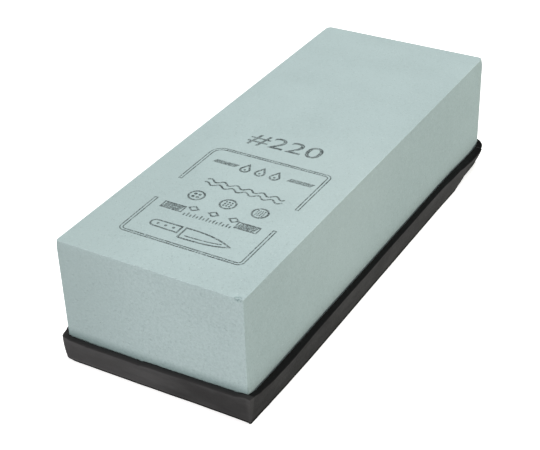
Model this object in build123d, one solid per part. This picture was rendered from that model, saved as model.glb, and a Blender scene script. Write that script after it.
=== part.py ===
from build123d import *
import os

# A large bench whetstone standing in a moulded rubber tray.
#
# The tray stands on the XY plane with its middle at the origin. The length runs along Y, the width
# along X and the height along Z. Every size is in millimetres.

# The abrasive block
STONE_WIDTH = 78.0
STONE_LENGTH = 207.0
STONE_THICKNESS = 50.0
STONE_CORNER_RADIUS = 1.0  # on the four upright edges
STONE_CHAMFER = 0.5  # round the top and the bottom face

# The rubber tray: a floor and four walls whose outside leans outwards
TRAY_HEIGHT = 11.5
TRAY_FLOOR = 3.0
TRAY_LEAN = 1.3  # how much further out the outside stands at the rim than at the foot
RIM_WIDTH = 2.2  # thickness of the wall at the rim
RIM_CLEARANCE = 0.6  # between the stone and the wall, at the rim, on each side
FLOOR_CLEARANCE = 0.2  # the same at the floor
TRAY_FOOT_RADIUS = 1.2  # corner radii, seen from above: outside at the foot
TRAY_RIM_RADIUS = 1.8  # outside at the rim
POCKET_RADIUS = 0.6  # inside
RIM_ROUNDING = 0.4
FOOT_ROUNDING = 0.7

# The grip pattern under the tray: grooves across it, inside a plain band
GRIP_BAND = 7.0
GRIP_PITCH = 6.0
GRIP_GROOVE_WIDTH = 2.4
GRIP_GROOVE_DEPTH = 0.8

# Worked out from the sizes above
FOOT_OVERHANG = RIM_CLEARANCE + RIM_WIDTH - TRAY_LEAN  # how far out from the stone the foot stands
FOOT_WIDTH = STONE_WIDTH + 2 * FOOT_OVERHANG
FOOT_LENGTH = STONE_LENGTH + 2 * FOOT_OVERHANG


def flared_block(overhang_low, overhang_high, radius_low, radius_high, z_low, z_high):
    """A block that stands out from the stone by one overhang at its foot and another at its top."""
    low = RectangleRounded(STONE_WIDTH + 2 * overhang_low, STONE_LENGTH + 2 * overhang_low, radius_low)
    high = RectangleRounded(STONE_WIDTH + 2 * overhang_high, STONE_LENGTH + 2 * overhang_high, radius_high)
    return loft([Pos(0, 0, z_low) * low, Pos(0, 0, z_high) * high], ruled=True)


def grip_grooves():
    """The grooves cut into the underside, a whole number of them either side of the middle."""
    field_length = FOOT_LENGTH - 2 * GRIP_BAND
    half_count = int(field_length / 2 // GRIP_PITCH)
    groove = SlotOverall(FOOT_WIDTH - 2 * GRIP_BAND, GRIP_GROOVE_WIDTH)
    places = GridLocations(0, GRIP_PITCH, 1, 2 * half_count)
    return extrude(Sketch() + [place * groove for place in places], GRIP_GROOVE_DEPTH)


def rubber_tray():
    """The floor and walls in one moulding, open at the top."""
    overhangs = (FOOT_OVERHANG, RIM_CLEARANCE + RIM_WIDTH)
    clearances = (FLOOR_CLEARANCE, RIM_CLEARANCE)
    outside = flared_block(*overhangs, TRAY_FOOT_RADIUS, TRAY_RIM_RADIUS, 0, TRAY_HEIGHT)
    pocket = flared_block(*clearances, POCKET_RADIUS, POCKET_RADIUS, TRAY_FLOOR, TRAY_HEIGHT)
    tray = outside - pocket
    tray = fillet(tray.faces().sort_by(Axis.Z)[-1].edges(), RIM_ROUNDING)
    tray = fillet(tray.faces().sort_by(Axis.Z)[0].edges(), FOOT_ROUNDING)
    return tray - grip_grooves()


def sharpening_stone():
    """The abrasive block, resting on the tray's floor."""
    middle = TRAY_FLOOR + STONE_THICKNESS / 2
    block = Pos(0, 0, middle) * Box(STONE_WIDTH, STONE_LENGTH, STONE_THICKNESS)
    block = fillet(block.edges().filter_by(Axis.Z), STONE_CORNER_RADIUS)
    faces = block.faces().sort_by(Axis.Z)
    return chamfer(faces[0].edges() + faces[-1].edges(), STONE_CHAMFER)


os.makedirs("parts", exist_ok=True)
export_step(rubber_tray(), "parts/rubber_tray.step")
export_step(sharpening_stone(), "parts/sharpening_stone.step")
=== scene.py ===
"""The looks of a bench whetstone in its rubber tray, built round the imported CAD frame.

The stone is a worn, fine-grained block with a printed panel on its top face. The tray is a soft
moulding whose wall leans out unevenly. Lengths are in millimetres, in the frame's own axes, and
MM turns them into Blender's metres.
"""

import math
from collections import namedtuple

import bmesh
import bpy
from mathutils import Matrix, Vector, noise


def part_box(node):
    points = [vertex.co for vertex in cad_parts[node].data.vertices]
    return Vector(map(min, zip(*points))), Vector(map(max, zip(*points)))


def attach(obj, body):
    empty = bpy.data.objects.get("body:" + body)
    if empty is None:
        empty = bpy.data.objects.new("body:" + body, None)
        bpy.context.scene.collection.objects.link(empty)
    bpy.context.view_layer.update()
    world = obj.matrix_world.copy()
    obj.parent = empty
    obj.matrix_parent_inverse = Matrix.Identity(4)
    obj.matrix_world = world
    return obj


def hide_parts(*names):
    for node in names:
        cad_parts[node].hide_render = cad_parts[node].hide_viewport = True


MM = 0.001
X, Y, Z = range(3)

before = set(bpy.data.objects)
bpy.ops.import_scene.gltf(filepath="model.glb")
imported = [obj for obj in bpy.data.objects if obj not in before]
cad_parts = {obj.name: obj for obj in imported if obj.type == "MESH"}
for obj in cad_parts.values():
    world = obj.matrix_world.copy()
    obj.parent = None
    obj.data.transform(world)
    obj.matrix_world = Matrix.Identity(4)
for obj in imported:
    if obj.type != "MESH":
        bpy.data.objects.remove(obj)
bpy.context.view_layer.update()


# ---------------------------------------------------------------- places from the frame


def node_box(node):
    """A CAD node's lowest and highest corners, in millimetres."""
    low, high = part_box(node)
    return Vector(low) / MM, Vector(high) / MM


STONE_LOW, STONE_HIGH = node_box("sharpening_stone")
STONE_HALF = (STONE_HIGH - STONE_LOW) / 2
STONE_MIDDLE = (STONE_HIGH + STONE_LOW) / 2
TOP = STONE_HIGH.z


# ---------------------------------------------------------------- small tools


def smooth(value):
    """0 up to 0, 1 from 1, and a soft step between."""
    value = min(max(value, 0.0), 1.0)
    return value * value * (3 - 2 * value)


def wander(seed, *place):
    """Smooth noise between about -1 and 1. The place is counted in sizes of one bump."""
    x, y, z = (*place, 0.0, 0.0)[:3]
    return noise.noise(Vector((x + 17.3 * seed, y - 5.1 * seed, z + 9.7 * seed)))


def new_object(name, data):
    """Puts a mesh, curve, text, camera or light in the scene."""
    made = bpy.data.objects.new(name, data)
    bpy.context.scene.collection.objects.link(made)
    return made


def new_piece(name, mesh, material, body, sharp_above):
    """Makes a piece of the object, with its material and body. It is shaded smooth, apart from
    edges that turn by more degrees than sharp_above."""
    mesh.name = name
    piece = new_object(name, mesh)
    mesh.materials.clear()
    mesh.materials.append(material)
    mesh.shade_smooth()
    mesh.set_sharp_from_angle(angle=math.radians(sharp_above))
    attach(piece, body)
    return piece


def mesh_from(points, faces):
    """A mesh from points in millimetres, with its faces turned outwards."""
    shape = bmesh.new()
    corners = [shape.verts.new(Vector(point) * MM) for point in points]
    for face in faces:
        shape.faces.new([corners[index] for index in face])
    bmesh.ops.recalc_face_normals(shape, faces=shape.faces)
    mesh = bpy.data.meshes.new("mesh")
    shape.to_mesh(mesh)
    shape.free()
    return mesh


# ---------------------------------------------------------------- materials

# A Mix node has sockets for each kind of value: these are its two inputs and its output for a kind
MIX_SOCKETS = {"FLOAT": (2, 3, 0), "RGBA": (6, 7, 2)}


class Recipe:
    """One material's node tree. Places are the piece's own, in millimetres."""

    def __init__(self, name):
        self.material = bpy.data.materials.new(name)
        self.material.use_nodes = True
        self.tree = self.material.node_tree
        self.tree.nodes.clear()
        self.shader = self.node("ShaderNodeBsdfPrincipled")
        output = self.node("ShaderNodeOutputMaterial")
        self.link(self.shader.outputs["BSDF"], output.inputs["Surface"])
        where = self.node("ShaderNodeTexCoord").outputs["Object"]
        scale = self.node("ShaderNodeVectorMath", operation="SCALE")
        self.link(where, scale.inputs[0])
        scale.inputs["Scale"].default_value = 1 / MM
        self.place = scale.outputs[0]

    def node(self, kind, **settings):
        """Adds a node and sets its properties."""
        made = self.tree.nodes.new(kind)
        for name, value in settings.items():
            setattr(made, name, value)
        return made

    def link(self, source, target):
        self.tree.links.new(source, target)

    def feed(self, target, value):
        """Sets a socket to a number or colour, or links it."""
        if isinstance(value, bpy.types.NodeSocket):
            self.link(value, target)
        else:
            target.default_value = value

    def math(self, operation, first, second, clamp=False):
        """The result of a Math node on two numbers or sockets."""
        made = self.node("ShaderNodeMath", operation=operation, use_clamp=clamp)
        self.feed(made.inputs[0], first)
        self.feed(made.inputs[1], second)
        return made.outputs[0]

    def product(self, first, *others):
        """Numbers and sockets multiplied together."""
        for other in others:
            first = self.math("MULTIPLY", first, other)
        return first

    def noise(self, size, detail=2.0, roughness=0.5, stretch=(1, 1, 1)):
        """Cloudy noise from 0 to 1 in bumps about size across, which may be stretched along X, Y and Z."""
        spread = self.node("ShaderNodeVectorMath", operation="MULTIPLY")
        self.link(self.place, spread.inputs[0])
        spread.inputs[1].default_value = [1 / (size * along) for along in stretch]
        made = self.node("ShaderNodeTexNoise")
        self.link(spread.outputs[0], made.inputs["Vector"])
        made.inputs["Scale"].default_value = 1.0
        made.inputs["Detail"].default_value = detail
        made.inputs["Roughness"].default_value = roughness
        return made.outputs["Fac"]

    def specks(self, pitch, share, radius):
        """1 inside round specks and 0 elsewhere. The specks take a share of the cells of a random
        lattice, and their radius is a share of its pitch."""
        made = self.node("ShaderNodeTexVoronoi", feature="F1")
        self.link(self.place, made.inputs["Vector"])
        made.inputs["Scale"].default_value = 1 / pitch
        inside = self.ramp(made.outputs["Distance"], 0.6 * radius, 1.2 * radius, 1.0, 0.0)
        split = self.node("ShaderNodeSeparateColor")
        self.link(made.outputs["Color"], split.inputs[0])
        chosen = self.math("LESS_THAN", split.outputs[0], share)
        return self.product(inside, chosen)

    def ramp(self, value, start, end, low=0.0, high=1.0):
        """Runs smoothly from low to high as value goes from start to end."""
        made = self.node("ShaderNodeMapRange", interpolation_type="SMOOTHSTEP")
        self.feed(made.inputs["Value"], value)
        made.inputs["From Min"].default_value = start
        made.inputs["From Max"].default_value = end
        made.inputs["To Min"].default_value = low
        made.inputs["To Max"].default_value = high
        return made.outputs["Result"]

    def near(self, centre, full, none):
        """1 up to one distance from a place, falling to 0 at another."""
        made = self.node("ShaderNodeVectorMath", operation="DISTANCE")
        self.link(self.place, made.inputs[0])
        made.inputs[1].default_value = centre
        return self.ramp(made.outputs["Value"], full, none, 1.0, 0.0)

    def coordinate(self, axis):
        """The place's X, Y or Z."""
        split = self.node("ShaderNodeSeparateXYZ")
        self.link(self.place, split.inputs[0])
        return split.outputs[axis]

    def across(self, axis, start, end, low, high):
        """Runs smoothly from low to high as one coordinate goes from start to end."""
        return self.ramp(self.coordinate(axis), start, end, low, high)

    def facing(self, way, start, end):
        """Rises from 0 to 1 as the surface turns up, for way 1, or down, for way -1. Start and end
        are 0 for an upright surface and 1 for a level one."""
        split = self.node("ShaderNodeSeparateXYZ")
        self.link(self.node("ShaderNodeNewGeometry").outputs["Normal"], split.inputs[0])
        return self.ramp(self.product(split.outputs["Z"], way), start, end)

    def mixed(self, kind, share, first, second):
        """The first value where the share is 0, and the second where it is 1."""
        first_input, second_input, output = MIX_SOCKETS[kind]
        made = self.node("ShaderNodeMix", data_type=kind)
        self.feed(made.inputs["Factor"], share)
        self.feed(made.inputs[first_input], first)
        self.feed(made.inputs[second_input], second)
        return made.outputs[output]

    def mix_numbers(self, share, first, second):
        return self.mixed("FLOAT", share, first, second)

    def mix(self, share, first, second):
        return self.mixed("RGBA", share, first, second)

    def lay(self, below, above, share, strength):
        """Lays a colour over another, at a strength where the share is 1."""
        return self.mix(self.product(share, strength), below, above)

    def bump(self, height, depth, below=None):
        """A bump whose height of 0 to 1 stands for depth in millimetres. It may lie on another."""
        made = self.node("ShaderNodeBump")
        self.feed(made.inputs["Height"], height)
        made.inputs["Distance"].default_value = depth * MM
        made.inputs["Strength"].default_value = 1.0
        if below is not None:
            self.link(below, made.inputs["Normal"])
        return made.outputs["Normal"]


def colour(red, green, blue):
    """An opaque colour."""
    return (red, green, blue, 1.0)


STONE_PALE = colour(0.430, 0.538, 0.548)
STONE_DEEP = colour(0.390, 0.490, 0.500)
# painted shade, darker towards the stone's near left
STONE_PAINTED_SHADE = colour(0.355, 0.445, 0.445)
# painted shade above the tray's rim, and the grime in the chip
STONE_SHADE_AND_GRIME = colour(0.035, 0.105, 0.100)
GRAIN_DARK = colour(0.300, 0.390, 0.390)
GRAIN_LIGHT = colour(0.540, 0.640, 0.640)
INK = colour(0.030, 0.040, 0.042)
RUBBER = colour(0.0056, 0.0056, 0.0056)
# the grey of the rubber's blooming, which also carries painted light and shade on the tray
RUBBER_BLOOM_AND_LIGHT = colour(0.103, 0.1013, 0.1035)
RUBBER_DUST = colour(0.16, 0.17, 0.17)


def stone_colour(recipe):
    """The abrasive with the saw's marks on its walls, a painted pool of light on top, painted shade
    towards the near left and above the tray's rim, and grime in the chip.
    """
    sawn = recipe.ramp(recipe.noise(1.1, detail=3, roughness=0.7), 0.36, 0.64)
    # a painted pool of light on the top face, towards its near right
    painted_light_near_right = recipe.near((STONE_HIGH.x - 4, STONE_MIDDLE.y - 25, TOP), 8, 60)
    body = grained_colour(recipe)
    body = recipe.mix(sawn_share(recipe), body, recipe.mix(sawn, GRAIN_DARK, GRAIN_LIGHT))
    # painted light on the top's near right
    body = recipe.lay(body, GRAIN_LIGHT, painted_light_near_right, 0.2)
    # painted shade towards the near left of the stone
    body = recipe.mix(painted_shade_near_left(recipe), body, STONE_PAINTED_SHADE)
    # painted shade on the near end just above the tray's rim
    body = recipe.mix(painted_rim_shade(recipe), body, STONE_SHADE_AND_GRIME)
    return recipe.mix(chip_grime(recipe), body, STONE_SHADE_AND_GRIME)


def grained_colour(recipe):
    """Pale grey-green abrasive: cloudy overall, mottled close up, with dark and light grains."""
    clouds = recipe.ramp(recipe.noise(28, detail=3), 0.3, 0.7)
    mottle = recipe.ramp(recipe.noise(1.6, detail=4, roughness=0.65), 0.32, 0.68)
    grain = recipe.ramp(recipe.noise(0.42, detail=2, roughness=0.7), 0.3, 0.7)
    dark = recipe.specks(pitch=0.75, share=0.3, radius=0.36)
    light = recipe.specks(pitch=1.3, share=0.18, radius=0.26)
    body = recipe.mix(clouds, STONE_DEEP, STONE_PALE)
    body = recipe.lay(body, STONE_PALE, mottle, 0.6)
    body = recipe.lay(body, GRAIN_LIGHT, grain, 0.26)
    body = recipe.lay(body, GRAIN_DARK, dark, 0.42)
    return recipe.lay(body, GRAIN_LIGHT, light, 0.5)


def sawn_share(recipe):
    """How strongly the sawn mottle shows: most on the near end, and hardly at all on top."""
    on_walls = recipe.mix_numbers(at_near_end(recipe), 0.12, 0.21)
    return recipe.mix_numbers(recipe.facing(1, 0.1, 0.7), on_walls, 0.03)


def chip_grime(recipe):
    """How dark the chipped place is, in specks."""
    at_chip = recipe.near(CHIP_PLACE, CHIP_RADIUS * 0.6, CHIP_RADIUS * 1.2)
    specks = recipe.ramp(recipe.noise(0.8), 0.42, 0.56, 0.08, 0.52)
    return recipe.product(at_chip, specks)


def painted_rim_shade(recipe):
    """How strongly painted shade darkens the near end above the tray: most behind the rim, which rises to
    the right, and less and less above it."""
    rim_height = recipe.across(X, STONE_MIDDLE.x - 20, STONE_HIGH.x + 6, 10.8, 12.5)
    above_rim = recipe.math("SUBTRACT", recipe.coordinate(Z), rim_height)
    return recipe.product(recipe.ramp(above_rim, 0.0, 4.5, 0.41, 0.0), at_near_end(recipe))


def at_near_end(recipe):
    """1 on the near end's face and 0 elsewhere."""
    return recipe.across(Y, STONE_LOW.y + 0.2, STONE_LOW.y + 1.0, 1.0, 0.0)


def painted_shade_near_left(recipe):
    """How strongly painted shade darkens the stone: most at the left of its near end, less on top."""
    across = recipe.across(X, STONE_LOW.x, STONE_LOW.x + 42, 0.6, 0.0)
    along = recipe.across(Y, STONE_LOW.y + 35, STONE_LOW.y + 125, 1.0, 0.0)
    upper = recipe.across(Z, TOP - 4, TOP, 1.0, 0.62)
    lower = recipe.across(Z, STONE_LOW.z + 8, TOP - 12, 0.65, 1.0)
    return recipe.product(across, along, upper, lower)


def stone_relief(recipe):
    """Open grain and pores, as a normal."""
    grain = recipe.bump(recipe.noise(0.42, detail=3, roughness=0.7), 0.11)
    pores = recipe.math("SUBTRACT", 1.0, recipe.specks(pitch=1.1, share=0.22, radius=0.3))
    return recipe.bump(pores, 0.12, below=grain)


def stone_material():
    """Fired abrasive, matt all over."""
    recipe = Recipe("abrasive_stone")
    recipe.feed(recipe.shader.inputs["Base Color"], stone_colour(recipe))
    recipe.feed(recipe.shader.inputs["Roughness"], recipe.ramp(recipe.noise(0.9), 0.3, 0.7, 0.8, 0.95))
    recipe.shader.inputs["Specular IOR Level"].default_value = 0.25
    recipe.feed(recipe.shader.inputs["Normal"], stone_relief(recipe))
    return recipe.material


def ink_material():
    """Worn grey stamping ink: the stone's own grain shows through where it didn't take."""
    recipe = Recipe("stamping_ink")
    took = recipe.ramp(recipe.noise(0.55, detail=3, roughness=0.75), 0.45, 0.66, 1.0, 0.0)
    patchy = recipe.ramp(recipe.noise(4.5, detail=2), 0.3, 0.7, 0.7, 1.0)
    bare = recipe.math("SUBTRACT", 1.0, recipe.product(took, patchy), clamp=True)
    recipe.feed(recipe.shader.inputs["Base Color"], recipe.lay(INK, stone_colour(recipe), bare, 0.85))
    recipe.shader.inputs["Roughness"].default_value = 0.85
    recipe.shader.inputs["Specular IOR Level"].default_value = 0.2
    recipe.feed(recipe.shader.inputs["Normal"], stone_relief(recipe))
    return recipe.material


def rubber_material():
    """Black moulded rubber with a faint grey blooming, painted light and shade, dust, scuffs and a satin
    skin.
    """
    recipe = Recipe("tray_rubber")
    # grey blooming with painted light and shade
    bloom_and_light = rubber_bloom_and_light(recipe)
    dust = recipe.specks(pitch=1.7, share=0.12, radius=0.12)
    body = recipe.mix(bloom_and_light, RUBBER, RUBBER_BLOOM_AND_LIGHT)
    body = recipe.mix(recipe.product(dust, 0.3, bloom_and_light), body, RUBBER_DUST)
    recipe.feed(recipe.shader.inputs["Base Color"], body)
    scuffs = recipe.noise(0.8, detail=4, roughness=0.7)
    recipe.feed(recipe.shader.inputs["Roughness"], recipe.ramp(scuffs, 0.3, 0.7, 0.45, 0.62))
    recipe.shader.inputs["Specular IOR Level"].default_value = 0.06
    skin = recipe.bump(recipe.noise(0.5, detail=3), 0.03)
    relief = recipe.bump(recipe.noise(7, detail=2), 0.12, below=skin)
    recipe.feed(recipe.shader.inputs["Normal"], relief)
    return recipe.material


def rubber_bloom_and_light(recipe):
    """How grey the rubber is, from its blooming and from painted light and shade. Walls, level faces and
    the underside differ.
    """
    cloud = recipe.noise(14, detail=4, roughness=0.6, stretch=(1.6, 1.6, 0.5))
    at_front = recipe.across(Y, STONE_LOW.y - 0.6, STONE_LOW.y + 0.2, 1.0, 0.0)
    on_walls = wall_bloom_and_light(recipe, cloud, at_front)
    on_level = level_bloom_and_light(recipe, cloud, at_front)
    bloom_and_light = recipe.mix_numbers(recipe.facing(1, 0.1, 0.7), on_walls, on_level)
    return recipe.mix_numbers(recipe.facing(-1, 0.2, 0.5), bloom_and_light, under_bloom_and_shade(recipe, cloud))


def wall_bloom_and_light(recipe, cloud, at_front):
    """Cloudy grey, with painted light that greys it towards three of the corners, the far ends and along
    the front's foot, and a painted shadow in a dark line along the foot.
    """
    # painted light: the walls other than the front grow brighter towards their far end
    lengthwise_light = recipe.across(Y, STONE_LOW.y, STONE_HIGH.y, -0.04, 0.11)
    # a painted highlight on the near right corner
    near_right_highlight = recipe.across(X, STONE_HIGH.x - 0.5, STONE_HIGH.x + 1.5, 0.01, 0.16)
    # painted light near the near left and far right corners
    near_left_light = recipe.near((STONE_LOW.x + 6, STONE_LOW.y, 4), 30, 46)
    far_right_light = recipe.near((STONE_HIGH.x + 2, STONE_HIGH.y - 14, 3), 5, 26)
    at_foot = recipe.across(Z, 0.9, 2.6, 1.0, 0.0)
    # painted light along the front wall's foot, brightest at the left
    front_foot_light = recipe.across(X, STONE_LOW.x + 18, STONE_LOW.x + 34, 0.26, 0.12)
    bloom_and_light = recipe.ramp(cloud, 0.35, 0.75, 0.37, 0.61)
    for addition in (
        recipe.mix_numbers(at_front, lengthwise_light, near_right_highlight),
        # a painted shadow along the foot, with painted light along it in front
        recipe.product(at_foot, recipe.mix_numbers(at_front, -0.07, front_foot_light)),
        recipe.product(near_left_light, 0.24),
        recipe.product(far_right_light, 0.14),
    ):
        bloom_and_light = recipe.math("ADD", bloom_and_light, addition)
    # darkened by a painted shadow line along the foot
    return recipe.product(bloom_and_light, above_painted_foot_shadow(recipe, at_front))


def above_painted_foot_shadow(recipe, at_front):
    """Nearly 0 in the painted shadow line along the foot, which is thinner in front, and 1 above it."""
    elsewhere = recipe.across(Z, 1.5, 2.1, 0.1, 1.0)
    in_front = recipe.across(Z, 0.9, 1.3, 0.05, 1.0)
    return recipe.mix_numbers(at_front, elsewhere, in_front)


def level_bloom_and_light(recipe, cloud, at_front):
    """Cloudy grey on the pocket's floor. The rim's top has painted light: grey in front and at the near
    left corner only.
    """
    in_pocket = recipe.across(Z, STONE_LOW.z + 0.6, STONE_LOW.z + 1.6, 1.0, 0.0)
    near_left_light = recipe.near((STONE_LOW.x - 1, STONE_LOW.y, 11.5), 3, 6)
    # painted light on the rim's top, in front and at the near left corner
    painted_rim_light = recipe.product(recipe.math("MAXIMUM", at_front, near_left_light), 0.235)
    return recipe.mix_numbers(in_pocket, painted_rim_light, recipe.ramp(cloud, 0.35, 0.7, 0.1, 0.3))


def under_bloom_and_shade(recipe, cloud):
    """Cloudy grey where the underside is flat, and faint where it curves up to the walls: a painted shadow
    along the foot.
    """
    flat = recipe.facing(-1, 0.97, 0.99)
    # nearly black on the foot's rounding: a painted shadow
    return recipe.mix_numbers(flat, 0.06, recipe.ramp(cloud, 0.35, 0.7, 0.2, 0.5))


# ---------------------------------------------------------------- the stone

# Distances from an edge at which the mesh has lines, close together where the edge is rounded
EDGE_LINES = (0.0, 0.14, 0.3, 0.5, 0.75, 1.1, 1.6, 2.3, 3.2)
STONE_MESH_PITCH = 1.3  # between the lines further in
EDGE_WEAR = 0.16  # usual radius of the top and bottom edges
UPRIGHT_RADIUS = 0.3  # of the upright edges, seen from above
CORNER_WEAR_DEPTH = 3.5  # how far below the top face its knocked corners reach
TOP_CORNER_RADII = {
    ("left", "near"): 1.0,
    ("right", "near"): 0.5,
    ("left", "far"): 2.4,
    ("right", "far"): 2.0,
}

# The chip in the near edge of the top face, beside the right corner
CHIP_PLACE = Vector((STONE_HIGH.x - 2.2, STONE_LOW.y, TOP))
CHIP_RADIUS = 1.7
CHIP_END = 1.3  # how many of its radii the chip reaches
CHIP_DEPTH = 0.55
CHIP_WAY = Vector((-0.05, 1.0, -0.8)).normalized()  # the way in which the stone is pushed back


def mesh_lines(half):
    """Places of the mesh's lines from -half to half, close together near both ends."""
    inner = half - EDGE_LINES[-1]
    count = max(2, round(2 * inner / STONE_MESH_PITCH))
    middle = [inner * (2 * step / count - 1) for step in range(1, count)]
    ends = [half - distance for distance in EDGE_LINES]
    return [-place for place in ends] + middle + ends[::-1]


def boxed_grid(xs, ys, zs):
    """The points and faces of a closed box whose six sides are ruled by the given lines."""
    last = (len(xs) - 1, len(ys) - 1, len(zs) - 1)
    index = {}
    points = []

    def corner(key):
        if key not in index:
            index[key] = len(points)
            points.append(Vector((xs[key[0]], ys[key[1]], zs[key[2]])))
        return index[key]

    faces = []
    for axis in range(3):
        first, second = (axis + 1) % 3, (axis + 2) % 3
        for end in (0, last[axis]):
            for i in range(last[first]):
                for j in range(last[second]):
                    quad = []
                    for step_i, step_j in ((0, 0), (1, 0), (1, 1), (0, 1)):
                        key = [0, 0, 0]
                        key[axis] = end
                        key[first] = i + step_i
                        key[second] = j + step_j
                        quad.append(corner(tuple(key)))
                    faces.append(quad)
    return points, faces


def upright_radius(point):
    """The plan radius of the nearest upright edge, which grows towards a knocked corner at the top."""
    at_top = TOP_CORNER_RADII["right" if point.x > 0 else "left", "far" if point.y > 0 else "near"]
    share = smooth(1 - (STONE_HALF.z - point.z) / CORNER_WEAR_DEPTH)
    return UPRIGHT_RADIUS + (at_top - UPRIGHT_RADIUS) * share


def in_plan(point):
    """Rounds the block in plan. Gives the new x and y, the way out, and the distance inside."""
    radius = upright_radius(point)
    across = abs(point.x) - (STONE_HALF.x - radius)
    along = abs(point.y) - (STONE_HALF.y - radius)
    signs = Vector((math.copysign(1, point.x), math.copysign(1, point.y)))
    if across > 0 and along > 0:
        ring = max(across, along)
        out = Vector((across, along)).normalized()
        centre = Vector((STONE_HALF.x - radius, STONE_HALF.y - radius))
        return (centre + out * ring) * signs, out * signs, radius - ring
    out = Vector((signs.x, 0)) if across > along else Vector((0, signs.y))
    return Vector((point.x, point.y)), out, radius - max(across, along)


def edge_radius(point):
    """How worn an edge is near a point: a slow change along it and small crumbled bites."""
    slow = wander(1, point.x / 18, point.y / 18, point.z / 18)
    bites = max(0.0, wander(2, point.x / 1.9, point.y / 1.9, point.z / 1.9) - 0.15)
    return EDGE_WEAR * (1 + 0.35 * slow + 0.9 * bites)


def worn(point):
    """Where a point of the plain block ends up once its edges are rounded."""
    plan, out, inside = in_plan(point)
    depth = STONE_HALF.z - abs(point.z)
    radius = edge_radius(point)
    if inside >= radius or depth >= radius:
        return Vector((plan.x, plan.y, point.z))
    arm = Vector((radius - inside, radius - depth)).normalized() * radius
    inset = radius - arm.x - inside
    height = STONE_HALF.z - (radius - arm.y)
    plan = plan - out * inset
    return Vector((plan.x, plan.y, math.copysign(height, point.z)))


def chipped(point):
    """Pushes a point in where the chip has left the edge."""
    away = (point - CHIP_PLACE).length / CHIP_RADIUS
    if away > CHIP_END:
        return point
    rough = 1 + 0.5 * wander(3, point.x / 0.7, point.y / 0.7, point.z / 0.7)
    return point + CHIP_WAY * CHIP_DEPTH * rough * smooth(CHIP_END - away)


def make_stone(material):
    """The block with its worn edges and its chip."""
    lines = [mesh_lines(half) for half in STONE_HALF]
    points, faces = boxed_grid(*lines)
    points = [chipped(worn(point) + STONE_MIDDLE) for point in points]
    stone = new_piece("abrasive_block", mesh_from(points, faces), material, "stone", 60)
    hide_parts("sharpening_stone")


# ---------------------------------------------------------------- the print on the stone

INK_BELOW = 0.02  # the print reaches this far into the stone, so no gap shows under it
INK_ABOVE = 0.03
SAME_POINT = 0.0001  # corners of the ink's mesh that are nearer than this are joined
BEND_STEPS = 12


def arc(centre, radius, start, end, steps):
    """Points along an arc, with its ends in degrees."""
    points = []
    for step in range(steps + 1):
        angle = math.radians(start + (end - start) * step / steps)
        points.append((centre[0] + radius * math.cos(angle), centre[1] + radius * math.sin(angle)))
    return points


def circle(x, y, radius, corners):
    """A closed outline round a place."""
    return arc((x, y), radius, 0, 360 * (1 - 1 / corners), corners - 1)


def rectangle(left, bottom, right, top):
    return [(left, bottom), (right, bottom), (right, top), (left, top)]


def lozenge(x, y, width, height):
    return [(x - width / 2, y), (x, y - height / 2), (x + width / 2, y), (x, y + height / 2)]


def ink_piece(name, shape, material, place=(0, 0), wider=1.0):
    """Turns a flat curve or text object, drawn in millimetres, into a thin closed layer of ink."""
    shape.data.dimensions = "2D"
    shape.data.fill_mode = "BOTH"
    shape.data.extrude = (INK_ABOVE + INK_BELOW) / 2
    mesh = bpy.data.meshes.new_from_object(shape)
    bpy.data.objects.remove(shape)
    middle = TOP + (INK_ABOVE - INK_BELOW) / 2
    widened = Matrix.Diagonal((wider, 1, 1, 1))
    moved = Matrix.Translation((STONE_MIDDLE.x + place[0], STONE_MIDDLE.y + place[1], middle))
    mesh.transform(Matrix.Diagonal((MM, MM, MM, 1)) @ moved @ widened)
    layer = bmesh.new()
    layer.from_mesh(mesh)
    bmesh.ops.remove_doubles(layer, verts=layer.verts, dist=SAME_POINT * MM)
    bmesh.ops.recalc_face_normals(layer, faces=layer.faces)
    layer.to_mesh(mesh)
    layer.free()
    piece = new_piece(name, mesh, material, "stone", 30)


def ink_outlines(name, outlines, material):
    """A layer of ink inside closed outlines. An outline inside another one is a hole."""
    curve = bpy.data.curves.new(name, "CURVE")
    for outline in outlines:
        spline = curve.splines.new("POLY")
        spline.points.add(len(outline) - 1)
        for point, (x, y) in zip(spline.points, outline):
            point.co = (x, y, 0, 1)
        spline.use_cyclic_u = True
    ink_piece(name, new_object(name, curve), material)


def bend(start, control, end):
    """Points along a curve that leaves its start towards the control and comes to its end from it."""
    start, control, end = Vector(start), Vector(control), Vector(end)
    shares = [step / BEND_STEPS for step in range(BEND_STEPS + 1)]
    return [tuple(start.lerp(control, share).lerp(control.lerp(end, share), share)) for share in shares]


def banded(outline, width):
    """The two edges of a closed line of ink of constant width."""
    edges = []
    for side in (0.5, -0.5):
        edge = []
        for index, point in enumerate(outline):
            here = Vector(point)
            first = (here - Vector(outline[index - 1])).normalized()
            second = (Vector(outline[(index + 1) % len(outline)]) - here).normalized()
            along = (first + second).normalized()
            reach = side * width / max(first.dot(along), 0.5)
            edge.append(tuple(here + Vector((along.y, -along.x)) * reach))
        edges.append(edge)
    return edges


def strip(path, width, shorter=0.0):
    """The outline of a strip of constant width along an open path, cut back at both ends."""
    path = [Vector(point) for point in path]
    path[0] = path[0] + (path[1] - path[0]).normalized() * shorter
    path[-1] = path[-1] + (path[-2] - path[-1]).normalized() * shorter
    left, right = [], []
    for index, point in enumerate(path):
        before = path[max(index - 1, 0)]
        after = path[min(index + 1, len(path) - 1)]
        along = (after - before).normalized()
        across = Vector((-along.y, along.x)) * width / 2
        left.append(tuple(point + across))
        right.append(tuple(point - across))
    return left + right[::-1]


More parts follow.
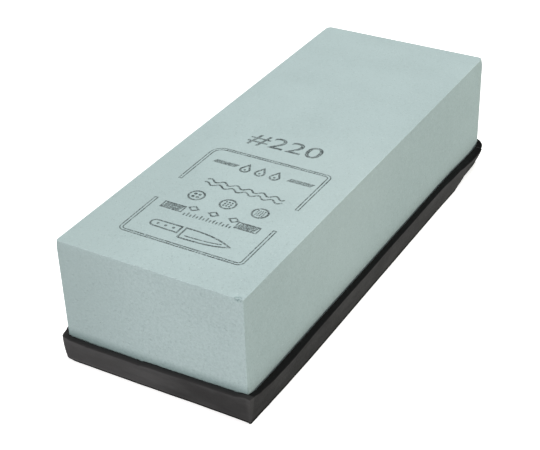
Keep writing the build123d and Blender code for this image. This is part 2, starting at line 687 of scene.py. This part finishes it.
# The panel: a border of two fine lines, open at both sides, set a little to the right of the middle.
# All places in the print are from the stone's middle: x to the right, and y away from the near end.
PANEL_LEFT, PANEL_RIGHT = -23.5, 27.5
PANEL_FAR, PANEL_NEAR = -19.8, -86.2
PANEL_RADIUS = 1.9
PANEL_FAR_LEFT_RADIUS = 4.5  # one corner is rounder than the others
PANEL_GAP_FAR, PANEL_GAP_NEAR = -46.8, -62.2
PANEL_MIDDLE = (PANEL_LEFT + PANEL_RIGHT) / 2
BORDER_WIDTH = 1.2  # between the two lines' middles
INK_LINE = 0.46
BOLD_LINE = 0.75  # of the signs inside the border

# Slanting strokes, unless a place has its own
HATCH_PITCH = 1.15
HATCH_LINE = 0.34
HATCH_LEAN = 0.8  # how far a stroke leans over its own height
HATCH_GAP = 0.08  # between the strokes' ends and the border's lines

# The grit number, in the built-in face
GRIT_PLACE = (0.5, -7.0)
GRIT_SIZE = 12.2
GRIT_WIDER = 1.24  # the figures are drawn wider than the face has them
GRIT_BOLDER = 0.04
GRIT_SPACING = 1.05


def border_path(side):
    """One bracket of the border: side 1 is the far one and side -1 the near one."""
    end = PANEL_FAR if side > 0 else PANEL_NEAR
    gap = PANEL_GAP_FAR if side > 0 else PANEL_GAP_NEAR
    radius = PANEL_FAR_LEFT_RADIUS if side > 0 else PANEL_RADIUS
    left = arc((PANEL_LEFT + radius, end - side * radius), radius, 180, 180 - side * 90, 8)
    right = arc((PANEL_RIGHT - PANEL_RADIUS, end - side * PANEL_RADIUS), PANEL_RADIUS, side * 90, 0, 8)
    return [(PANEL_LEFT, gap), *left, *right, (PANEL_RIGHT, gap)]


def print_border(material):
    """The border's two brackets. Each is one fine line that runs out and back."""
    for name, side in (("far", 1), ("near", -1)):
        path = border_path(side)
        outer = strip(path, BORDER_WIDTH + INK_LINE)
        inner = strip(path, BORDER_WIDTH - INK_LINE, INK_LINE)
        ink_outlines("print_border_" + name, [outer, inner], material)


def hatch(left, bottom, right, top, pitch=HATCH_PITCH, line=HATCH_LINE, lean=HATCH_LEAN):
    """Slanting strokes that fill a rectangle."""
    strokes = []
    slant = lean * (top - bottom)
    count = int((right - left - slant - line) / pitch)
    for step in range(count + 1):
        x = left + step * pitch
        strokes.append([(x, bottom), (x + line, bottom), (x + slant + line, top), (x + slant, top)])
    return strokes


def print_hatching(material):
    """Fine slanting strokes between the border's two lines, along both ends of the panel."""
    inner = (BORDER_WIDTH - INK_LINE) / 2 - HATCH_GAP
    right = PANEL_RIGHT - PANEL_RADIUS
    strokes = []
    for middle, radius in ((PANEL_FAR, PANEL_FAR_LEFT_RADIUS), (PANEL_NEAR, PANEL_RADIUS)):
        strokes += hatch(PANEL_LEFT + radius, middle - inner, right, middle + inner)
    ink_outlines("print_border_hatching", strokes, material)


def drop(x, y, height):
    """A water drop: a pointed top and a round foot."""
    radius = height * 0.33
    foot = (x, y - height / 2 + radius)
    return [(x, y + height / 2), *arc(foot, radius, 150, 390, 22)]


def print_drops(material):
    """Three water drops, each with a dot in it, between two hatched bars."""
    row = -29.0
    outlines = []
    for step in (-1, 0, 1):
        x = PANEL_MIDDLE + 6.6 * step
        outlines += banded(drop(x, row, height=5.6), width=0.85)
        outlines.append(circle(x, row - 1.2, 0.5, 12))
    ink_outlines("print_drops", outlines, material)
    for name, left in (("left", -19.4), ("right", 13.8)):
        bar = hatch(left, row - 1.2, left + 11.4, row + 1.1, pitch=0.8, line=0.6, lean=0.5)
        ink_outlines("print_bar_" + name, bar, material)


def ripple_path(left, y, head_start):
    """A wavy line that runs to the right. The head start is a part of a wave, in radians."""
    length = 34.0
    wave_length = 5.67
    height = 0.85
    steps = 96
    path = []
    for step in range(steps + 1):
        along = length * step / steps
        turn = 2 * math.pi * along / wave_length + head_start
        path.append((left + along, y + height * math.sin(turn)))
    return path


def print_waves(material):
    """Two lines of ripples, the nearer one a little ahead."""
    far = ripple_path(-13.5, -42.6, 0.0)
    near = ripple_path(-13.5, -45.2, 0.6)
    ink_outlines("print_waves", [strip(far, BOLD_LINE), strip(near, BOLD_LINE)], material)


def dot_grid(x, y, width, count):
    """A square grid of dots, as many across as along."""
    pitch = width / count
    places = [(step - (count - 1) / 2) * pitch for step in range(count)]
    return [circle(x + across, y + along, 0.36 * pitch, 12) for across in places for along in places]


def print_grades(material):
    """Three rings with coarse, medium and fine dots."""
    row = -54.6
    outlines = []
    for column, dots in enumerate((2, 3, 4)):
        x = -10.8 + 13.8 * column
        outlines += banded(circle(x, row, 3.1, 36), width=0.8)
        outlines += dot_grid(x, row, 3.9, dots)
    ink_outlines("print_grades", outlines, material)


def print_scale(material):
    """A row of lozenges over a short rule."""
    row = -62.9
    foot = -68.4
    marks = []
    for step in (-1, 0, 1):
        marks += banded(lozenge(PANEL_MIDDLE + 8.6 * step, row, 4.0, 3.0), width=0.7)
    for step in range(15):
        left = PANEL_MIDDLE - 10.2 + 1.4 * step
        height = 2.4 if step % 2 else 1.5
        marks.append(rectangle(left, foot, left + 0.6, foot + height))
    ink_outlines("print_scale", marks, material)


def print_blocks(material):
    """A hatched block at either end of the scale."""
    near, far = -67.0, -63.2
    for name, left in (("left", -18.8), ("right", 13.2)):
        edge = banded(rectangle(left, near, left + 9.0, far), width=0.6)
        ink_outlines("print_block_" + name, edge, material)
        strokes = hatch(left + 0.3, near + 0.3, left + 8.9, far - 0.3, pitch=0.68, line=0.46, lean=0.3)
        ink_outlines("print_block_hatching_" + name, strokes, material)


def print_knife(material):
    """A plain kitchen knife with a riveted handle, its edge towards the near end."""
    heel = -1.6
    tip = (18.6, -78.9)
    spine = bend((heel, -75.2), (11.0, -74.8), tip)
    edge = bend(tip, (13.0, -82.0), (heel, -81.6))
    bevel = bend((0.2, -79.8), (11.0, -79.9), (15.2, -78.6))
    handle_row = -77.2
    handle = [*arc((-13.9, handle_row), 1.9, 90, 270, 12), (-3.4, -79.4), (-3.4, -75.2)]
    outlines = banded(spine + edge[1:], BOLD_LINE) + banded(handle, BOLD_LINE)
    for x in (-12.8, -9.4, -6.0):
        outlines.append(circle(x, handle_row, 0.6, 12))
    ink_outlines("print_knife", outlines, material)
    ink_outlines("print_knife_bevel", [strip(bevel, 0.5)], material)


def print_grit(material):
    """The grit number, the only figures on the stone."""
    data = bpy.data.curves.new("print_grit", "FONT")
    data.body = "#220"
    data.size = GRIT_SIZE
    data.space_character = GRIT_SPACING
    data.offset = GRIT_BOLDER
    data.align_x = "CENTER"
    data.align_y = "CENTER"
    shape = new_object("print_grit", data)
    ink_piece("print_grit", shape, material, GRIT_PLACE, GRIT_WIDER)


def make_print(material):
    """Everything that is stamped on the top face."""
    print_grit(material)
    print_border(material)
    print_hatching(material)
    print_drops(material)
    print_waves(material)
    print_grades(material)
    print_scale(material)
    print_blocks(material)
    print_knife(material)


# ---------------------------------------------------------------- the rubber tray

WALL = 2.3
LIP_ROUNDING = 0.2  # on the rim's inner edge
FLOOR_TOP = STONE_LOW.z - 0.04
POCKET_ROUNDING = 0.4  # between the wall and the floor inside
FOOT_MARGIN = 0.6  # how far in from the foot's rounding the cut through the wall ends
TRAY_MESH_PITCH = 1.2
CLEAR_OF_STONE = 0.15
THINNEST_WALL = 0.5
WIDEST_GAP = 0.75  # the rim's inner edge stays this close to the stone, however far it leans out

# How the soft wall stands: the share of the side's length, the rim's height, how far the rim's
# outer edge is out from the stone and how round it is, how far out and how round the foot is, and
# how far the wall bulges between the two.
Stance = namedtuple("Stance", "along rim_height rim_out rim_round foot_out foot_round bulge")

FRONT = (
    Stance(0.00, 11.1, 2.30, 0.5, 1.75, 1.1, 0.20),
    Stance(0.035, 11.1, 2.90, 0.6, 1.95, 0.8, 0.15),
    Stance(0.15, 11.0, 2.95, 0.8, 1.80, 0.75, 0.12),
    Stance(0.38, 11.1, 2.65, 1.0, 1.55, 0.75, 0.12),
    Stance(0.52, 11.5, 2.35, 1.0, 1.30, 0.75, 0.10),
    Stance(0.76, 12.0, 2.30, 0.8, 0.85, 0.75, 0.10),
    Stance(0.885, 12.45, 2.60, 0.8, 0.70, 0.7, 0.10),
    Stance(0.95, 12.75, 2.75, 0.6, 0.65, 0.7, 0.08),
    Stance(1.00, 13.0, 2.10, 0.5, 0.65, 0.6, 0.05),
)
RIGHT = (
    Stance(0.00, 12.95, 2.65, 0.4, 1.30, 0.6, 0.05),
    Stance(0.02, 12.35, 3.15, 0.4, 1.45, 0.7, 0.10),
    Stance(0.06, 12.2, 3.85, 0.4, 1.70, 0.7, 0.12),
    Stance(0.115, 12.1, 4.05, 0.4, 2.00, 0.7, 0.12),
    Stance(0.21, 12.05, 3.70, 0.4, 2.25, 0.7, 0.12),
    Stance(0.50, 11.8, 3.45, 0.4, 2.10, 0.7, 0.12),
    Stance(0.76, 11.55, 3.50, 0.4, 2.0, 0.7, 0.12),
    Stance(0.85, 11.25, 4.10, 0.5, 2.2, 0.8, 0.12),
    Stance(0.885, 10.8, 4.50, 0.6, 1.95, 1.7, 0.15),
    Stance(0.92, 10.4, 4.75, 0.7, 1.6, 2.5, 0.20),
    Stance(0.955, 10.1, 4.60, 0.7, 1.75, 3.0, 0.20),
    Stance(1.00, 10.6, 3.75, 0.6, 1.45, 3.4, 0.20),
)
BACK = (
    Stance(0.00, 10.6, 3.75, 0.6, 1.45, 3.4, 0.20),
    Stance(0.15, 10.8, 3.90, 0.5, 1.4, 2.2, 0.15),
    Stance(0.35, 11.2, 3.00, 0.4, 1.6, 0.7, 0.12),
    Stance(0.65, 11.6, 2.90, 0.4, 1.6, 0.5, 0.12),
    Stance(0.90, 11.8, 3.20, 0.4, 1.4, 0.8, 0.20),
    Stance(1.00, 11.9, 2.90, 0.4, 1.2, 1.4, 0.30),
)
LEFT = (
    Stance(0.00, 11.9, 2.90, 0.4, 1.2, 1.4, 0.30),
    Stance(0.08, 11.6, 3.10, 0.4, 1.5, 0.6, 0.12),
    Stance(0.50, 11.4, 2.90, 0.4, 1.6, 0.5, 0.12),
    Stance(0.90, 12.0, 2.60, 0.4, 1.6, 0.6, 0.12),
    Stance(0.95, 12.8, 2.50, 0.5, 1.6, 0.8, 0.25),
    Stance(0.985, 12.4, 2.45, 0.5, 1.6, 1.0, 0.25),
    Stance(1.00, 11.9, 1.80, 0.5, 1.35, 1.3, 0.20),
)

# Each side runs anticlockwise from start to end. The corner at its end is a fan of cuts round a
# centre set in from the stone's own corner. It is round when crisp is 0 and mitred when it is 1.
Side = namedtuple("Side", "start end out stances crisp inset")
LEFT_X, RIGHT_X = STONE_LOW.x, STONE_HIGH.x
NEAR_Y, FAR_Y = STONE_LOW.y, STONE_HIGH.y
SIDES = (
    Side((LEFT_X, NEAR_Y), (RIGHT_X, NEAR_Y), (0, -1), FRONT, 0.9, 0.0),
    Side((RIGHT_X, NEAR_Y), (RIGHT_X, FAR_Y), (1, 0), RIGHT, 0.0, 5.0),
    Side((RIGHT_X, FAR_Y), (LEFT_X, FAR_Y), (0, 1), BACK, 0.2, 1.5),
    Side((LEFT_X, FAR_Y), (LEFT_X, NEAR_Y), (-1, 0), LEFT, 0.4, 0.0),
)
LEAST_INSET = 0.8  # the straight cuts stop at least this far from a corner
CORNER_STEPS = 12
ROUNDED_MITRE = 1.37  # how far out the stone's rounded corner reaches, where a sharp one is 1.414

# Small nicks in the front rim
Nick = namedtuple("Nick", "x reach depth")
NICKS = (Nick(-29.0, 0.8, 0.2), Nick(-6.3, 1.0, 0.35), Nick(34.6, 0.8, 0.15))

# The grip grooves under the tray, the same as in the CAD model
GRIP_HALF_COUNT = 16  # either side of the middle
GRIP_PITCH = 6.0
GRIP_WIDTH = 2.4
GRIP_LENGTH = 67.0
GRIP_DEPTH = 0.8
CUTTER_BELOW = 1.0  # how far below the tray the shape that cuts them starts


def between(first, second, share):
    """Blends two stances."""
    return Stance(*(a + (b - a) * share for a, b in zip(first, second)))


def stance_at(stances, along):
    """The stance at a share of the side's length, passing smoothly through the listed ones."""
    for first, second in zip(stances, stances[1:]):
        if along <= second.along:
            return between(first, second, smooth((along - first.along) / (second.along - first.along)))
    return stances[-1]


def unevenness(stance, place):
    """Adds the small waves of a soft moulding."""
    wave = wander(5, place.x / 26, place.y / 26)
    ripple = wander(6, place.x / 7, place.y / 7)
    return stance._replace(
        rim_height=stance.rim_height + 0.14 * wave + 0.05 * ripple,
        rim_out=stance.rim_out + 0.16 * wander(7, place.x / 30, place.y / 30) + 0.04 * ripple,
        foot_out=stance.foot_out + 0.05 * wave,
    )


def nicked(stance, x):
    """Lowers the rim where it has a nick."""
    depth = sum(nick.depth * smooth(1 - abs(x - nick.x) / nick.reach) for nick in NICKS)
    return stance._replace(rim_height=stance.rim_height - depth)


def outer_face(stance, foot_out, rim_out):
    """The wall's outside, from under the floor to the top of the rim."""
    foot = stance.foot_round
    shoulder = stance.rim_height - stance.rim_round
    face = [(foot_out - foot - FOOT_MARGIN, 0.0)]
    face += arc((foot_out - foot, foot), foot, -90, 0, 6)
    for share in (0.2, 0.4, 0.6, 0.8):
        bulge = stance.bulge * math.sin(math.pi * share)
        face.append((foot_out + (rim_out - foot_out) * share + bulge, foot + (shoulder - foot) * share))
    return face + arc((rim_out - stance.rim_round, shoulder), stance.rim_round, 0, 90, 6)


def inner_face(stance, foot_out, rim_out, clear):
    """The wall's inside, from the top of the rim to the floor. It stays clear of the stone."""
    foot = stance.foot_round
    shoulder = stance.rim_height - stance.rim_round
    lip = stance.rim_height - LIP_ROUNDING
    lean = (rim_out - foot_out) / (shoulder - foot)
    inner_rim = min(max(rim_out - WALL, clear), clear + WIDEST_GAP)
    inner_foot = max(foot_out + lean * (FLOOR_TOP - foot) - WALL, clear)
    above_floor = FLOOR_TOP + POCKET_ROUNDING
    face = arc((inner_rim + LIP_ROUNDING, lip), LIP_ROUNDING, 90, 180, 4)
    for share in (0.25, 0.5, 0.75):
        face.append((inner_rim + (inner_foot - inner_rim) * share, lip + (above_floor - lip) * share))
    face.append((inner_foot, above_floor))
    face.append((inner_foot - POCKET_ROUNDING / 4, FLOOR_TOP + POCKET_ROUNDING / 4))
    face.append((inner_foot - POCKET_ROUNDING, FLOOR_TOP))
    return face


def wall_section(stance, clear=CLEAR_OF_STONE):
    """The wall cut through, as (way out, height) points from under the floor, over the rim and
    down to the floor inside."""
    foot_out = max(stance.foot_out, clear + THINNEST_WALL)
    rim_out = max(stance.rim_out, clear + 2 * THINNEST_WALL)
    return outer_face(stance, foot_out, rim_out) + inner_face(stance, foot_out, rim_out, clear)


def placed_section(place, out, section):
    """A section's points in space, with its foot at a place and facing out."""
    return [(place.x + out.x * way, place.y + out.y * way, height) for way, height in section]


def straight_sections(side, before):
    """The cuts along one side, between the corner before it and the one at its end."""
    start, end = Vector(side.start), Vector(side.end)
    length = (end - start).length
    first = max(before.inset, LEAST_INSET)
    last = length - max(side.inset, LEAST_INSET)
    count = round((last - first) / TRAY_MESH_PITCH)
    for step in range(count + 1):
        along = (first + (last - first) * step / count) / length
        place = start.lerp(end, along)
        stance = unevenness(stance_at(side.stances, along), place)
        if side.stances is FRONT:
            stance = nicked(stance, place.x)
        yield placed_section(place, Vector(side.out), wall_section(stance))


def corner_sections(side, following):
    """The cuts round the corner at a side's end, fanned about a centre inside the stone's corner."""
    corner = Vector(side.end)
    first, second = Vector(side.out), Vector(following.out)
    centre = corner - (first + second) * side.inset
    for step in range(CORNER_STEPS + 1):
        turn = math.pi / 2 * step / CORNER_STEPS
        mitre = 1 / max(math.cos(turn), math.sin(turn))
        out = first * math.cos(turn) + second * math.sin(turn)
        out = out * (1 + (mitre - 1) * side.crisp)
        stance = between(side.stances[-1], following.stances[0], smooth(step / CORNER_STEPS))
        stance = unevenness(stance, corner)
        stance = stance._replace(
            rim_out=stance.rim_out + side.inset,
            foot_out=stance.foot_out + side.inset,
        )
        clear = side.inset * min(mitre, ROUNDED_MITRE) + CLEAR_OF_STONE
        yield placed_section(centre, out, wall_section(stance, clear))


def tray_loops():
    """Every cut through the wall, in order round the tray, as lists of points."""
    loops = []
    for index, side in enumerate(SIDES):
        loops += straight_sections(side, SIDES[index - 1])
        loops += corner_sections(side, SIDES[(index + 1) % len(SIDES)])
    return loops


def tray_mesh():
    """The wall as a band round the tray, closed by a floor above and a floor below."""
    loops = tray_loops()
    size = len(loops[0])
    points = [point for loop in loops for point in loop]
    faces = []
    for index in range(len(loops)):
        here = index * size
        there = (index + 1) % len(loops) * size
        for step in range(size - 1):
            faces.append((here + step, here + step + 1, there + step + 1, there + step))
    faces.append([index * size for index in range(len(loops))])
    faces.append([index * size + size - 1 for index in range(len(loops))])
    return mesh_from(points, faces)


def groove_outline(y):
    """A groove across the tray, with round ends."""
    radius = GRIP_WIDTH / 2
    half = GRIP_LENGTH / 2 - radius
    return arc((half, y), radius, -90, 90, 8) + arc((-half, y), radius, 90, 270, 8)


def groove_cutter():
    """The grip grooves under the tray, as one mesh of separate slots."""
    cutter = bmesh.new()
    for step in range(2 * GRIP_HALF_COUNT):
        outline = groove_outline((step - GRIP_HALF_COUNT + 0.5) * GRIP_PITCH)
        under = [cutter.verts.new(Vector((*point, -CUTTER_BELOW)) * MM) for point in outline]
        over = [cutter.verts.new(Vector((*point, GRIP_DEPTH)) * MM) for point in outline]
        cutter.faces.new(under[::-1])
        cutter.faces.new(over)
        for index in range(len(outline)):
            after = (index + 1) % len(outline)
            cutter.faces.new((under[index], under[after], over[after], over[index]))
    mesh = bpy.data.meshes.new("groove_cutter")
    cutter.to_mesh(mesh)
    cutter.free()
    return new_object("groove_cutter", mesh)


def cut_grooves(tray):
    """Cuts the grip grooves out of the underside and applies the cut."""
    cutter = groove_cutter()
    cut = tray.modifiers.new("grooves", "BOOLEAN")
    cut.operation = "DIFFERENCE"
    cut.solver = "EXACT"
    cut.object = cutter
    graph = bpy.context.evaluated_depsgraph_get()
    carved = bpy.data.meshes.new_from_object(tray.evaluated_get(graph))
    tray.modifiers.clear()
    tray.data = carved
    bpy.data.objects.remove(cutter)


def make_tray(material):
    """The soft moulding with its grip grooves."""
    tray = new_piece("rubber_base", tray_mesh(), material, "tray", 45)
    cut_grooves(tray)
    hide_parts("rubber_tray")


# ---------------------------------------------------------------- floor, light and camera

# The camera stands off the near right corner and looks down at the whetstone. Angles are in degrees.
CAMERA_PLACE = Vector((221.9, -386.4, 298.4)) * MM
CAMERA_AZIMUTH = 31.225
CAMERA_ELEVATION = 32.71
CAMERA_ROLL = -2.02
CAMERA_LENS = 84.4
SENSOR_WIDTH = 36
CAMERA_SEES_FROM, CAMERA_SEES_TO = 10, 100_000
FLOOR_SIZE = 40_000
FLOOR_BOUNCE = colour(0.45, 0.45, 0.45)
FLOOR_DROP = 0.02  # below the tray's foot, so that the two faces don't coincide
FLOOR_LIFT = 0.6  # a little brightness of its own, so that the floor's shadows stay faint
WHITE = colour(1, 1, 1)
SURROUND_LIGHT = 0.12


def make_camera():
    data = bpy.data.cameras.new("camera")
    data.lens = CAMERA_LENS
    data.sensor_width = SENSOR_WIDTH
    data.clip_start = CAMERA_SEES_FROM * MM
    data.clip_end = CAMERA_SEES_TO * MM
    camera = new_object("camera", data)
    turn = Matrix.Rotation(math.radians(CAMERA_AZIMUTH), 4, "Z")
    tilt = Matrix.Rotation(math.radians(90 - CAMERA_ELEVATION), 4, "X")
    roll = Matrix.Rotation(math.radians(CAMERA_ROLL), 4, "Z")
    camera.matrix_world = Matrix.Translation(CAMERA_PLACE) @ turn @ tilt @ roll
    bpy.context.scene.camera = camera


def floor_material():
    """Pale all over. It looks white to the camera, but bounces only half as much light."""
    recipe = Recipe("floor_white")
    white = recipe.mix(recipe.noise(160, detail=2), colour(0.91, 0.91, 0.91), colour(0.94, 0.94, 0.94))
    seen = recipe.node("ShaderNodeLightPath").outputs["Is Camera Ray"]
    shader = recipe.shader
    recipe.feed(shader.inputs["Base Color"], recipe.mix(seen, FLOOR_BOUNCE, white))
    recipe.feed(shader.inputs["Emission Strength"], recipe.product(seen, FLOOR_LIFT))
    shader.inputs["Emission Color"].default_value = WHITE
    shader.inputs["Roughness"].default_value = 0.9
    shader.inputs["Specular IOR Level"].default_value = 0.0
    return recipe.material


def make_floor():
    """A plain pale sheet."""
    half = FLOOR_SIZE / 2
    corners = [(*corner, -FLOOR_DROP) for corner in rectangle(-half, -half, half, half)]
    mesh = mesh_from(corners, [(0, 1, 2, 3)])
    mesh.materials.append(floor_material())
    floor = new_object("floor", mesh)


def make_light(name, place, size, power, tint=(1, 1, 1)):
    """A square softbox aimed at the middle of the tray's foot."""
    place = Vector(place) * MM
    data = bpy.data.lights.new(name, "AREA")
    data.shape = "SQUARE"
    data.size = size * MM
    data.energy = power
    data.color = tint
    light = new_object(name, data)
    light.location = place
    light.visible_camera = False
    light.rotation_euler = (-place).to_track_quat("-Z", "Y").to_euler()


def new_background(tree, strength):
    """A white background as bright as its strength."""
    made = tree.nodes.new("ShaderNodeBackground")
    made.inputs["Color"].default_value = WHITE
    made.inputs["Strength"].default_value = strength
    return made.outputs["Background"]


def make_world():
    """A surround that looks white to the camera, but lights the whetstone only dimly."""
    world = bpy.data.worlds.new("surround")
    world.use_nodes = True
    tree = world.node_tree
    tree.nodes.clear()
    output = tree.nodes.new("ShaderNodeOutputWorld")
    path = tree.nodes.new("ShaderNodeLightPath")
    choose = tree.nodes.new("ShaderNodeMixShader")
    tree.links.new(path.outputs["Is Camera Ray"], choose.inputs[0])
    tree.links.new(new_background(tree, SURROUND_LIGHT), choose.inputs[1])
    tree.links.new(new_background(tree, 1.0), choose.inputs[2])
    tree.links.new(choose.outputs["Shader"], output.inputs["Surface"])
    bpy.context.scene.world = world


def make_studio():
    """Camera, floor and lights."""
    make_camera()
    make_floor()
    make_world()
    make_light("overhead_softbox", (0, 150, 1300), size=900, power=9.9)
    make_light("front_softbox", (250, -1750, 850), size=1000, power=26.0, tint=(1.025, 1.0, 0.985))
    make_light("right_softbox", (1700, 1000, 850), size=1000, power=23.8, tint=(1.0, 1.0, 0.89))
    bpy.context.scene.view_settings.view_transform = "Standard"


make_studio()
make_stone(stone_material())
make_print(ink_material())
make_tray(rubber_material())
